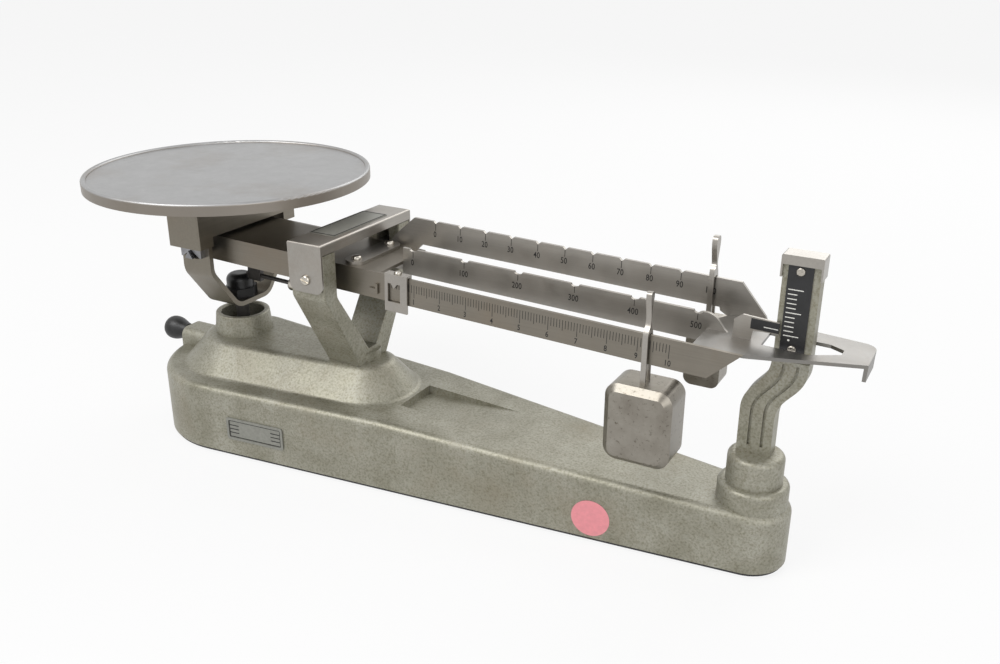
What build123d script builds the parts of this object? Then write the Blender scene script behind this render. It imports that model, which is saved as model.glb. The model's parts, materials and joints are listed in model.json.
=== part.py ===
from build123d import *
import math
import os

os.makedirs("parts", exist_ok=True)

# A triple beam balance. Millimetres and degrees, +Z up, the table at Z 0.
# Sizes are given from the fulcrum, which stands at X 0 and Y 0 while the pieces are made, with
# the scales running to +X. Each piece is then moved so that X 0 is the middle of the whole.

# Driving sizes of the casting
CAST_BOTTOM = 2.8
CAST_WALL = 4.0
LEFT_X = -76.9
LEFT_R = 48.2
RIGHT_X = 219.5
RIGHT_R = 18.2
DECK_Z = 40.4
DECK_BREAK_X = 36.0
DECK_SLOPE = 2.58
DECK_ROUND = 4.0
HUMP_TOP = 56.0
HUMP_FOOT_R = 37.0
HUMP_TOP_R = 23.2
HUMP_END_X = 7.0
HUMP_END_FOOT_R = 27.0
HUMP_END_TOP_R = 13.4
HUMP_ROUND = 5.0
HUMP_FOOT_ROUND = 2.5
HUMP_WALL = 4.0

# Underside
PLATE_T = 1.6
PLATE_INSET = 1.0
FOOT_R = 14.0
FOOT_X = -93.0
FOOT_Y = 22.0

# Tray for loose weights in the deck
TRAY_X0 = 36.6
TRAY_LENGTH = 56.0
TRAY_WIDTH = 28.0
TRAY_DEPTH = 4.6
TRAY_WALL = 3.0

# Tower and pointer post
TOWER_R = 16.2
TOWER_STEP_Z = 42.0
TOWER_TOP_R = 12.8
TOWER_TOP_Z = 56.0
TOWER_ROUND = 2.5
POST_FOOT_X = 210.6
POST_FOOT_W = 15.4
POST_BEND_Z0 = 77.0
POST_BEND_Z1 = 103.0
POST_SHIFT = 11.4
POST_TOP_Z = 149.0
POST_TOP_W = 15.8
POST_FRONT = -3.0
POST_BACK = 6.0
POST_RECESS = 1.5
POST_GROOVE = 1.3
POST_GROOVE_DEPTH = 1.2
CAP_T = 0.8
CAP_DROP = 9.0
CAP_FACE = 3.4

# Scale plate on the post
SCALE_W = 10.4
SCALE_X = 229.5
SCALE_TOP = 145.7
SCALE_BOTTOM = 104.6
SCALE_T = 0.6
SCALE_SCREW_TOP = 143.0
SCALE_SCREW_BOTTOM = 108.4

# Beam
BEAM_TILT = 1.7
PIVOT_Z = 110.0
WEB_RISE = 6.0
SHEET = 1.6
BLADE_H = 13.74
BEAM_HALF = 22.0
CHANNEL_LEFT = -98.0
WEB_RIGHT = 31.8
REAR_WALL_RIGHT = 26.0
MIDDLE_RISE = 7.2
REAR_RISE = 16.4
MIDDLE_RIGHT = 191.0
REAR_RIGHT = 199.5
ZERO_X = 38.0
REAR_SCALE = 147.9
MIDDLE_SCALE = 149.2
REAR_STEPS = 10
MIDDLE_STEPS = 5
NOTCH_W = 2.4
NOTCH_D = 1.3
FRONT_FOOT_RIGHT = 200.0
FRONT_TOP_RIGHT = 214.0
TIP_LEFT = 192.0
TIP_RIGHT = 261.0
LIP_DROP = 17.0
SLOT_LEFT = 217.2
SLOT_RIGHT = 249.2
SLOT_FRONT = -5.6
SLOT_BACK = 10.6

# Knife edges and their bearings
KNIFE_H = 4.2
KNIFE_HALF_W = 2.5
PAN_ARM = 81.0
BEARING_GAP = 0.15
BEARING_W = 8.0
BEARING_DEPTH = 5.0

# Fork and bridge cover
FORK_HALF_W = 10.3
FORK_OUT = 37.8
FORK_ARM = 10.2
FORK_TOP = 124.0
FORK_BEND_Z = 101.0
FORK_CROTCH_Z = 63.5
FORK_CROTCH_Y = 3.5
FORK_FOOT_R = 12.5
FORK_FOOT_H = 5.0
COVER_SHEET = 1.2
COVER_TOP = 129.8
COVER_FLANGE = 5.5
COVER_BOTTOM = 104.3
COVER_ROUND = 4.5
LABEL_T = 0.3

# Pan and its carrier
PAN_D = 152.4
PAN_RIM_Z = 149.6
PAN_SKIRT = 6.0
PAN_SHEET = 1.2
PAN_BEAD = 1.4
SUPPORT_W = 22.0
SUPPORT_OUT = 38.5
SUPPORT_SHEET = 1.2
SUPPORT_BOTTOM = 114.4
SUPPORT_ARCH_Z = 119.6
YOKE_T = 2.6
YOKE_Y = 29.7
YOKE_BEND_Z = 99.0
YOKE_FOOT_Y = 12.5
YOKE_FOOT_Z = 75.5
YOKE_ROUND = 9.0
STEM_R = 3.7
STEM_NUT_R = 9.5
STEM_NUT_H = 13.0

# Collar that the stem passes
COLLAR_TOP = 67.6
COLLAR_R = 15.0
COLLAR_FOOT_R = 16.2
COLLAR_BORE_R = 12.0

# Check link inside the casting
LINK_Z = 20.0
LINK_T = 2.4
LINK_EYE_R = 4.0
LINK_H = 6.0
LINK_PIN_R = 1.5
LINK_PLAY = 0.06
OPEN_PIVOT_PLAY = 0.3
LINK_SIDE_GAP = 0.4
LINK_CHEEK_T = 1.6

# Poises and rider
RIDER_LEFT = 36.2
RIDER_W = 13.0
RIDER_SHEET = 1.1
RIDER_GAP = 0.3
RIDER_BOTTOM = -12.0
LARGE_X = 172.4
LARGE_W = 31.5
LARGE_D = 19.7
LARGE_H = 37.5
LARGE_TOP = 88.0
LARGE_ROUND = 6.5
LARGE_BAIL_TOP = 130.3
REAR_X = 186.5
REAR_W = 17.0
REAR_D = 13.0
REAR_H = 32.5
REAR_TOP = 107.0
REAR_ROUND = 4.0
REAR_BAIL_TOP = 146.1
BAIL_W = 2.4
BAIL_T = 1.1
BAIL_HALF = 3.2
HANG_GAP = 0.3

# Zero adjustment under the beam
ROD_R = 1.2
ROD_LEFT = -74.0
ROD_RIGHT = -34.0
ROD_V = -21.5
NUT_X = -39.5
NUT_R = 3.9
NUT_L = 6.5

# Knob on the left boss
BOSS_X = -123.0
BOSS_HALF_W = 9.0
BOSS_TOP = 50.0
BOSS_ROUND = 5.0
KNOB_Z = 45.0
KNOB_R = 7.0
KNOB_NECK_R = 4.2
KNOB_L = 17.0
KNOB_GAP = 3.0
SHAFT_R = 3.0
SHAFT_PLAY = 0.05

# Frames worked out from the sizes above
TILT = math.radians(BEAM_TILT)
BEAM_X = (math.cos(TILT), 0, -math.sin(TILT))
BEAM_UP = (math.sin(TILT), 0, math.cos(TILT))
PAN_X = -PAN_ARM * math.cos(TILT)
PAN_PIVOT_Z = PIVOT_Z + PAN_ARM * math.sin(TILT)
LINK_END_Z = LINK_Z + PAN_ARM * math.sin(TILT)
BLADE_IN = BEAM_HALF - SHEET
BLADE_Y = BEAM_HALF - SHEET / 2
WEB_BOTTOM = WEB_RISE - SHEET
BLADE_BOTTOM = WEB_RISE - BLADE_H
MIDDLE_TOP = WEB_RISE + MIDDLE_RISE
MIDDLE_BOTTOM = MIDDLE_TOP - BLADE_H
REAR_BLADE_TOP = WEB_RISE + REAR_RISE
REAR_BLADE_BOTTOM = REAR_BLADE_TOP - BLADE_H
DECK_FALL = math.tan(math.radians(DECK_SLOPE))
PAN_R = PAN_D / 2
TIP_REACH = TIP_RIGHT * BEAM_X[0] + WEB_RISE * BEAM_UP[0]
MIDDLE_X = (PAN_X - PAN_R + TIP_REACH) / 2


def side(y):
    """Vertical plane at Y, seen from the front, sketched in X and Z"""
    return Plane(origin=(0, y, 0), x_dir=(1, 0, 0), z_dir=(0, -1, 0))


def beam_side(y):
    """Plane of a blade at Y, sketched along and above the line of the knife edges"""
    return Plane(origin=(0, y, PIVOT_Z), x_dir=BEAM_X, z_dir=(0, -1, 0))


def beam_top(rise):
    """Plane along the beam at a height above the knife edges, sketched in length and Y"""
    origin = (rise * BEAM_UP[0], 0, PIVOT_Z + rise * BEAM_UP[2])
    return Plane(origin=origin, x_dir=BEAM_X, z_dir=BEAM_UP)


def beam_z(length, rise):
    """Height above the table of a point given along and above the line of the knife edges"""
    return PIVOT_Z - length * math.sin(TILT) + rise * math.cos(TILT)


def finish(piece, name):
    """Moves a finished piece so that the origin lies under the middle of the whole, names and writes it"""
    placed = piece.part.moved(Location((-MIDDLE_X, 0, 0)))
    placed.label = name
    export_step(placed, f"parts/{name}.step")


def draw_tapered_slot(left_r, right_x, right_r):
    """Two round ends joined by straight sides, in the open sketch"""
    with Locations((LEFT_X, 0)):
        Circle(left_r)
    with Locations((right_x, 0)):
        Circle(right_r)
    make_hull()


def deck_block(inset, floor, drop):
    """The tapered plan, inset, from the floor up to the deck less a drop"""
    reach = RIGHT_X + RIGHT_R + CAST_WALL
    low = DECK_Z - drop - (reach - DECK_BREAK_X) * DECK_FALL
    with BuildPart() as block:
        with BuildSketch(Plane.XY.offset(floor)):
            draw_tapered_slot(LEFT_R - inset, RIGHT_X, RIGHT_R - inset)
        extrude(amount=DECK_Z)
        with BuildSketch(side(0)):
            with BuildLine():
                Polyline(
                    (-reach, floor),
                    (-reach, DECK_Z - drop),
                    (DECK_BREAK_X, DECK_Z - drop),
                    (reach, low),
                    (reach, floor),
                    close=True,
                )
            make_face()
        extrude(amount=LEFT_R, both=True, mode=Mode.INTERSECT)
    return block


def hump_block(inset, floor, top, rounding):
    """The raised back of the casting with drafted sides"""
    with BuildPart() as hump:
        with BuildSketch(Plane.XY.offset(floor)):
            draw_tapered_slot(HUMP_FOOT_R - inset, HUMP_END_X, HUMP_END_FOOT_R - inset)
        with BuildSketch(Plane.XY.offset(top)):
            draw_tapered_slot(HUMP_TOP_R - inset, HUMP_END_X, HUMP_END_TOP_R - inset)
        loft()
        fillet(hump.faces().sort_by(Axis.Z)[-1].edges(), rounding)
    return hump


def round_screw(plane, radius, height, slot_angle):
    """Round head of a slotted screw standing on a plane"""
    with BuildPart() as screw:
        with BuildSketch(plane):
            Circle(radius)
        extrude(amount=height)
        fillet(screw.faces().sort_by(Axis(plane.origin, plane.z_dir))[-1].edges(), height * 0.85)
        with BuildSketch(plane.offset(height)):
            Rectangle(3 * radius, radius * 0.28, rotation=slot_angle)
        extrude(amount=-height * 0.4, mode=Mode.SUBTRACT)
    return screw


# Casting: base, hump, tower and knob boss in one piece, hollow below
outer = deck_block(0, CAST_BOTTOM, 0)
hollow = deck_block(CAST_WALL, 0, CAST_WALL)
hump_outer = hump_block(0, DECK_Z, HUMP_TOP, HUMP_ROUND)
hump_hollow = hump_block(HUMP_WALL, DECK_Z - 2 * CAST_WALL, HUMP_TOP - HUMP_WALL, 1)

with BuildPart() as tray_keep:
    with BuildSketch(Plane.XY.offset(DECK_Z - TRAY_DEPTH - TRAY_WALL)):
        with Locations((TRAY_X0 + TRAY_LENGTH / 2, 0)):
            RectangleRounded(TRAY_LENGTH + 2 * TRAY_WALL, TRAY_WIDTH + 2 * TRAY_WALL, TRAY_WALL)
    extrude(amount=TRAY_DEPTH + TRAY_WALL)

with BuildPart() as base:
    add(outer.part)
    top_edges = base.faces().filter_by(lambda f: f.normal_at().Z > 0.9).edges()
    rim = [e for e in top_edges if abs((e @ 0.5).X - DECK_BREAK_X) > 1]
    fillet(rim, DECK_ROUND)
    add(hump_outer.part)
    foot = [
        e
        for e in base.edges().filter_by_position(Axis.Z, DECK_Z - 0.01, DECK_Z + 0.01)
        if e.bounding_box().max.Y < HUMP_FOOT_R + 0.2
        and e.bounding_box().min.Y > -HUMP_FOOT_R - 0.2
        and abs((e @ 0.5).X - DECK_BREAK_X) > 1
    ]
    fillet(foot, HUMP_FOOT_ROUND)
    with BuildSketch(side(0)):
        with BuildLine():
            bottom = DECK_Z - (RIGHT_X - DECK_BREAK_X) * DECK_FALL - CAST_WALL
            step = Polyline(
                (RIGHT_X, bottom),
                (RIGHT_X + TOWER_R, bottom),
                (RIGHT_X + TOWER_R, TOWER_STEP_Z - TOWER_ROUND),
            )
            ease = RadiusArc(step @ 1, (RIGHT_X + TOWER_R - TOWER_ROUND, TOWER_STEP_Z), -TOWER_ROUND)
            neck = Line(ease @ 1, (RIGHT_X + TOWER_TOP_R, TOWER_STEP_Z))
            wall = Line(neck @ 1, (RIGHT_X + TOWER_TOP_R, TOWER_TOP_Z - TOWER_ROUND))
            crown = RadiusArc(wall @ 1, (RIGHT_X + TOWER_TOP_R - TOWER_ROUND, TOWER_TOP_Z), -TOWER_ROUND)
            Polyline(crown @ 1, (RIGHT_X, TOWER_TOP_Z), (RIGHT_X, bottom))
        make_face()
    revolve(axis=Axis((RIGHT_X, 0, 0), (0, 0, 1)))
    with BuildSketch(Plane.YZ.offset(BOSS_X)):
        with Locations((0, (BOSS_TOP + CAST_BOTTOM) / 2)):
            RectangleRounded(2 * BOSS_HALF_W, BOSS_TOP - CAST_BOTTOM, BOSS_ROUND)
    extrude(amount=LEFT_X - HUMP_TOP_R / 2 - BOSS_X)
    add(hollow.part - tray_keep.part, mode=Mode.SUBTRACT)
    add(hump_hollow.part, mode=Mode.SUBTRACT)
    with BuildSketch(side(0)):
        with BuildLine():
            Polyline(
                (TRAY_X0, DECK_Z + TRAY_DEPTH),
                (TRAY_X0, DECK_Z - TRAY_DEPTH),
                (TRAY_X0 + TRAY_LENGTH, DECK_Z - (TRAY_X0 + TRAY_LENGTH - DECK_BREAK_X) * DECK_FALL),
                (TRAY_X0 + TRAY_LENGTH, DECK_Z + TRAY_DEPTH),
                close=True,
            )
        make_face()
    extrude(amount=TRAY_WIDTH / 2, both=True, mode=Mode.SUBTRACT)
    with BuildSketch(Plane.XY.offset(HUMP_TOP)):
        with Locations((PAN_X, 0)):
            Circle(COLLAR_BORE_R)
    extrude(amount=-2 * HUMP_WALL, mode=Mode.SUBTRACT)
    with BuildSketch(Plane.YZ.offset(BOSS_X)):
        with Locations((0, KNOB_Z)):
            Circle(SHAFT_R + SHAFT_PLAY)
    extrude(amount=KNOB_L, mode=Mode.SUBTRACT)
finish(base, "base")

# Collar on the hump
with BuildPart() as stem_collar:
    with BuildSketch(side(0)):
        with BuildLine():
            Polyline(
                (PAN_X + COLLAR_BORE_R, HUMP_TOP),
                (PAN_X + COLLAR_FOOT_R, HUMP_TOP),
                (PAN_X + COLLAR_R, COLLAR_TOP),
                (PAN_X + COLLAR_BORE_R, COLLAR_TOP),
                close=True,
            )
        make_face()
    revolve(axis=Axis((PAN_X, 0, 0), (0, 0, 1)))
    fillet(stem_collar.edges().filter_by(GeomType.CIRCLE).group_by(Axis.Z)[-1], 1)
finish(stem_collar, "stem_collar")

# Sheet under the casting, with three rubber feet
with BuildPart() as bottom_plate:
    with BuildSketch(Plane.XY.offset(CAST_BOTTOM - PLATE_T)):
        draw_tapered_slot(LEFT_R - PLATE_INSET, RIGHT_X, RIGHT_R - PLATE_INSET)
    extrude(amount=PLATE_T)
finish(bottom_plate, "bottom_plate")

FOOT_PLACES = {
    "foot_left_front": (FOOT_X, -FOOT_Y),
    "foot_left_rear": (FOOT_X, FOOT_Y),
    "foot_right": (RIGHT_X, 0),
}
for foot_name, place in FOOT_PLACES.items():
    with BuildPart() as rubber_foot:
        with BuildSketch(Plane.XY):
            with Locations(place):
                Circle(FOOT_R)
        extrude(amount=CAST_BOTTOM - PLATE_T)
    finish(rubber_foot, foot_name)

# Knob and its shaft
with BuildPart() as knob_shaft:
    with BuildSketch(Plane.YZ.offset(BOSS_X - KNOB_GAP)):
        with Locations((0, KNOB_Z)):
            Circle(SHAFT_R)
    extrude(amount=KNOB_GAP + KNOB_L - 1)
finish(knob_shaft, "knob_shaft")

with BuildPart() as knob:
    with BuildSketch(side(0)):
        with BuildLine():
            start = BOSS_X - KNOB_GAP
            neck = Line((start, KNOB_Z), (start, KNOB_Z + KNOB_NECK_R))
            flare = Spline(
                neck @ 1,
                (start - KNOB_L * 0.6, KNOB_Z + KNOB_R),
                tangents=((-1, 0.1), (-1, 0.05)),
            )
            nose = Spline(
                flare @ 1,
                (start - KNOB_L, KNOB_Z),
                tangents=((-1, 0.05), (0, -1)),
            )
            Line(nose @ 1, neck @ 0)
        make_face()
    revolve(axis=Axis((start, 0, KNOB_Z), (1, 0, 0)))
finish(knob, "knob")

# Frame for a name on the front wall, left bare
NAME_X = -38.0
NAME_Z = 18.5
NAME_W = 36.0
NAME_H = 13.0
NAME_T = 0.8
NAME_RIM = 1.4
SIDE_SIN = (LEFT_R - RIGHT_R) / (RIGHT_X - LEFT_X)
SIDE_COS = math.sqrt(1 - SIDE_SIN**2)
WALL_REACH = (LEFT_R - (NAME_X - LEFT_X) * SIDE_SIN) / SIDE_COS
FRONT_WALL = Plane(
    origin=(NAME_X, -WALL_REACH, NAME_Z),
    x_dir=(SIDE_COS, SIDE_SIN, 0),
    z_dir=(SIDE_SIN, -SIDE_COS, 0),
)
with BuildPart() as name_frame:
    with BuildSketch(FRONT_WALL):
        RectangleRounded(NAME_W, NAME_H, NAME_RIM)
    extrude(amount=NAME_T)
    with BuildSketch(FRONT_WALL.offset(NAME_T)):
        RectangleRounded(NAME_W - 2 * NAME_RIM, NAME_H - 2 * NAME_RIM, NAME_RIM / 2)
    extrude(amount=-NAME_T / 2, mode=Mode.SUBTRACT)
finish(name_frame, "name_frame")

# Bracket, pin and check link inside the casting
with BuildPart() as link_bracket:
    cheek_y = LINK_T / 2 + LINK_SIDE_GAP
    foot_half = cheek_y + LINK_CHEEK_T
    with BuildSketch(Plane.XY.offset(CAST_BOTTOM)):
        Rectangle(5 * LINK_EYE_R, 2 * foot_half)
    extrude(amount=PLATE_T)
    with BuildSketch(side(cheek_y)):
        with BuildLine():
            Polyline(
                (2 * LINK_EYE_R, CAST_BOTTOM),
                (LINK_EYE_R, LINK_Z),
                (-LINK_EYE_R, LINK_Z),
                (-2 * LINK_EYE_R, CAST_BOTTOM),
                close=True,
            )
        make_face()
        with Locations((0, LINK_Z)):
            Circle(LINK_EYE_R)
            Circle(LINK_PIN_R, mode=Mode.SUBTRACT)
    extrude(amount=-LINK_CHEEK_T)
    mirror(about=Plane.XZ)
finish(link_bracket, "link_bracket")

with BuildPart() as link_pin:
    with BuildSketch(side(0)):
        with Locations((0, LINK_Z)):
            Circle(LINK_PIN_R)
    extrude(amount=foot_half + LINK_SIDE_GAP, both=True)
finish(link_pin, "link_pin")

LINK_PLANE = Plane(origin=(0, 0, LINK_Z), x_dir=BEAM_X, z_dir=(0, -1, 0))
with BuildPart() as check_link:
    with BuildSketch(LINK_PLANE):
        with Locations((-PAN_ARM / 2, 0)):
            Rectangle(PAN_ARM, LINK_H)
        with Locations((0, 0), (-PAN_ARM, 0)):
            Circle(LINK_EYE_R)
        Circle(LINK_PIN_R + LINK_PLAY, mode=Mode.SUBTRACT)
        with Locations((-PAN_ARM, 0)):
            Circle(LINK_PIN_R + OPEN_PIVOT_PLAY, mode=Mode.SUBTRACT)
    extrude(amount=LINK_T / 2, both=True)
finish(check_link, "check_link")

# Fork that carries the fulcrum bearings
FORK_IN = FORK_OUT - FORK_ARM
BEARING_TOP = PIVOT_Z + BEARING_W / 2 * math.tan(math.radians(35))
with BuildPart() as fork:
    with BuildSketch(Plane.YZ):
        with BuildLine():
            Polyline(
                (0, HUMP_TOP),
                (FORK_FOOT_R, HUMP_TOP),
                (FORK_OUT, FORK_BEND_Z),
                (FORK_OUT, FORK_TOP),
                (FORK_IN, FORK_TOP),
                (FORK_IN, FORK_BEND_Z - 1),
                (FORK_CROTCH_Y, FORK_CROTCH_Z),
                (0, FORK_CROTCH_Z),
                close=True,
            )
        make_face()
        mirror(about=Plane.YZ)
    extrude(amount=FORK_HALF_W, both=True)
    fillet(fork.edges().filter_by(Axis.X).filter_by_position(Axis.Z, FORK_BEND_Z - 2, FORK_BEND_Z + 1), 6)
    fillet(fork.edges().filter_by(Axis.Z).filter_by_position(Axis.Z, FORK_BEND_Z, FORK_TOP), 0.8)
    with BuildSketch(Plane.XY.offset(HUMP_TOP)):
        Circle(FORK_FOOT_R)
    extrude(amount=FORK_FOOT_H)
    with BuildSketch(side(0)):
        with Locations((0, FORK_TOP)):
            Rectangle(BEARING_W, 2 * (FORK_TOP - PIVOT_Z + BEARING_DEPTH))
    extrude(amount=FORK_OUT + 1, both=True, mode=Mode.SUBTRACT)
finish(fork, "fork")

for bearing_name, way in (("fulcrum_bearing_front", -1), ("fulcrum_bearing_rear", 1)):
    with BuildPart() as bearing:
        with BuildSketch(side(way * (FORK_IN + FORK_ARM / 2))):
            with BuildLine():
                Polyline(
                    (-BEARING_W / 2, PIVOT_Z - BEARING_DEPTH),
                    (BEARING_W / 2, PIVOT_Z - BEARING_DEPTH),
                    (BEARING_W / 2, BEARING_TOP),
                    (0, PIVOT_Z - BEARING_GAP),
                    (-BEARING_W / 2, BEARING_TOP),
                    close=True,
                )
            make_face()
        extrude(amount=FORK_ARM / 2, both=True)
    finish(bearing, bearing_name)

# Bridge cover over the fulcrum, with a bare label and two screws
with BuildPart() as bridge_cover:
    cover_out = FORK_OUT + COVER_SHEET
    with BuildSketch(Plane.XY.offset(COVER_BOTTOM)):
        Rectangle(2 * FORK_HALF_W, 2 * cover_out)
    extrude(amount=COVER_TOP - COVER_BOTTOM)
    fillet(bridge_cover.edges().filter_by(Axis.Y).group_by(Axis.Z)[0], COVER_ROUND)
    fillet(bridge_cover.faces().sort_by(Axis.Z)[-1].edges(), COVER_SHEET * 0.9)
    with BuildSketch(Plane.XY.offset(COVER_TOP - COVER_SHEET)):
        Rectangle(2 * (FORK_HALF_W - COVER_SHEET), 2 * FORK_OUT)
    extrude(amount=-COVER_TOP + COVER_BOTTOM, mode=Mode.SUBTRACT)
    with BuildSketch(Plane.XY.offset(COVER_TOP - COVER_FLANGE)):
        Rectangle(4 * FORK_HALF_W, 2 * FORK_OUT)
    extrude(amount=-COVER_TOP + COVER_BOTTOM, mode=Mode.SUBTRACT)
finish(bridge_cover, "bridge_cover")

LABEL_W = 16.0
LABEL_L = 46.0
with BuildPart() as label_plate:
    with BuildSketch(Plane.XY.offset(COVER_TOP)):
        with Locations((-COVER_SHEET, 0)):
            RectangleRounded(LABEL_W, LABEL_L, 1)
    extrude(amount=LABEL_T)
finish(label_plate, "label_plate")

COVER_SCREW_R = 2.7
COVER_SCREW_H = 1.6
for screw_name, way in (("cover_screw_front", -1), ("cover_screw_rear", 1)):
    screw_plane = Plane(origin=(0, way * cover_out, PIVOT_Z + 0.9), x_dir=(1, 0, 0), z_dir=(0, way, 0))
    finish(round_screw(screw_plane, COVER_SCREW_R, COVER_SCREW_H, 20 * way), screw_name)

# Pointer post: straight foot, an S bend and a straight top
POST_TOP_X = POST_FOOT_X + POST_SHIFT
with BuildPart() as pointer_post:
    with BuildSketch(side(POST_FRONT)):
        with BuildLine():
            left_foot = Line((POST_FOOT_X, TOWER_TOP_Z), (POST_FOOT_X, POST_BEND_Z0))
            left_bend = Spline(
                left_foot @ 1,
                (POST_TOP_X, POST_BEND_Z1),
                tangents=((0, 1), (0, 1)),
            )
            outline_top = Polyline(
                left_bend @ 1,
                (POST_TOP_X, POST_TOP_Z),
                (POST_TOP_X + POST_TOP_W, POST_TOP_Z),
                (POST_TOP_X + POST_TOP_W, POST_BEND_Z1 - 3),
            )
            right_bend = Spline(
                outline_top @ 1,
                (POST_FOOT_X + POST_FOOT_W, POST_BEND_Z0 - 3),
                tangents=((0, -1), (0, -1)),
            )
            Polyline(right_bend @ 1, (POST_FOOT_X + POST_FOOT_W, TOWER_TOP_Z), left_foot @ 0)
        make_face()
    extrude(amount=POST_FRONT - POST_BACK)
    with BuildSketch(side(POST_FRONT)):
        for share in (0.34, 0.72):
            with BuildLine() as groove_line:
                low = (POST_FOOT_X + share * POST_FOOT_W, TOWER_TOP_Z + 4)
                bend_low = (low[0], POST_BEND_Z0 - 1.5)
                bend_high = (POST_TOP_X + share * POST_TOP_W, POST_BEND_Z1 - 1.5)
                Line(low, bend_low)
                Spline(bend_low, bend_high, tangents=((0, 1), (0, 1)))
            trace(groove_line.line, line_width=POST_GROOVE)
    extrude(amount=-POST_GROOVE_DEPTH, mode=Mode.SUBTRACT)
    with BuildSketch(side(POST_FRONT)):
        with Locations((POST_TOP_X + POST_TOP_W / 2, (POST_BEND_Z1 + POST_TOP_Z) / 2 + 1)):
            Rectangle(2 * POST_TOP_W, POST_TOP_Z - POST_BEND_Z1 + 2)
    extrude(amount=-POST_RECESS, mode=Mode.SUBTRACT)
finish(pointer_post, "pointer_post")

SCALE_FACE = POST_FRONT + POST_RECESS
with BuildPart() as scale_plate:
    with BuildSketch(side(SCALE_FACE)):
        with Locations((SCALE_X, (SCALE_TOP + SCALE_BOTTOM) / 2)):
            RectangleRounded(SCALE_W, SCALE_TOP - SCALE_BOTTOM, 0.5)
    extrude(amount=SCALE_T)
finish(scale_plate, "scale_plate")

SCALE_SCREW_R = 1.9
SCALE_SCREW_H = 0.9
for screw_name, height in (("scale_screw_top", SCALE_SCREW_TOP), ("scale_screw_bottom", SCALE_SCREW_BOTTOM)):
    screw_plane = Plane(origin=(SCALE_X, SCALE_FACE - SCALE_T, height), x_dir=(1, 0, 0), z_dir=(0, -1, 0))
    finish(round_screw(screw_plane, SCALE_SCREW_R, SCALE_SCREW_H, 35), screw_name)

with BuildPart() as post_cap:
    cap_depth = POST_BACK - SCALE_FACE + SCALE_T + CAP_T
    cap_x = POST_TOP_X + POST_TOP_W / 2
    cap_y = (POST_BACK + SCALE_FACE - SCALE_T) / 2
    with BuildSketch(Plane.XY.offset(POST_TOP_Z - CAP_DROP)):
        with Locations((cap_x, cap_y)):
            Rectangle(POST_TOP_W + 2 * CAP_T, cap_depth + CAP_T)
    extrude(amount=CAP_DROP + CAP_T)
    fillet(post_cap.edges().filter_by(Axis.Y).group_by(Axis.Z)[-1], CAP_T * 0.9)
    with BuildSketch(Plane.XY.offset(POST_TOP_Z)):
        with Locations((cap_x, cap_y)):
            Rectangle(POST_TOP_W, cap_depth - CAP_T)
    extrude(amount=-CAP_DROP, mode=Mode.SUBTRACT)
    with BuildSketch(side(cap_y - cap_depth)):
        with Locations((cap_x, POST_TOP_Z - CAP_FACE - CAP_DROP / 2)):
            Rectangle(POST_TOP_W, CAP_DROP)
    extrude(amount=-cap_depth, mode=Mode.SUBTRACT)
finish(post_cap, "post_cap")

# Beam channel with the front blade
with BuildPart() as beam_channel:
    with BuildSketch(beam_top(WEB_BOTTOM)):
        with BuildLine():
            Polyline(
                (CHANNEL_LEFT, -BLADE_IN),
                (WEB_RIGHT, -BLADE_IN),
                (WEB_RIGHT, BLADE_IN),
                (CHANNEL_LEFT, BLADE_IN),
                close=True,
            )
        make_face()
    extrude(amount=SHEET)
    with BuildSketch(beam_side(-BLADE_IN)):
        with BuildLine():
            Polyline(
                (CHANNEL_LEFT, BLADE_BOTTOM),
                (FRONT_FOOT_RIGHT, BLADE_BOTTOM),
                (FRONT_TOP_RIGHT, WEB_RISE),
                (CHANNEL_LEFT, WEB_RISE),
                close=True,
            )
        make_face()
        with BuildLine():
            Polyline((-KNIFE_HALF_W, KNIFE_H), (0, 0), (KNIFE_HALF_W, KNIFE_H), close=True)
        make_face(mode=Mode.SUBTRACT)
        with BuildLine():
            Polyline(
                (-PAN_ARM - KNIFE_HALF_W, -KNIFE_H),
                (-PAN_ARM, 0),
                (-PAN_ARM + KNIFE_HALF_W, -KNIFE_H),
                close=True,
            )
        make_face(mode=Mode.SUBTRACT)
    extrude(amount=SHEET)
    with BuildSketch(beam_side(-BEAM_HALF)):
        with Locations((29, -3.6)):
            Rectangle(5.2, 2.6)
        with Locations((30.9, -2.3)):
            Rectangle(1.4, 5.2)
    extrude(amount=1.1)
finish(beam_channel, "beam_channel")

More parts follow.
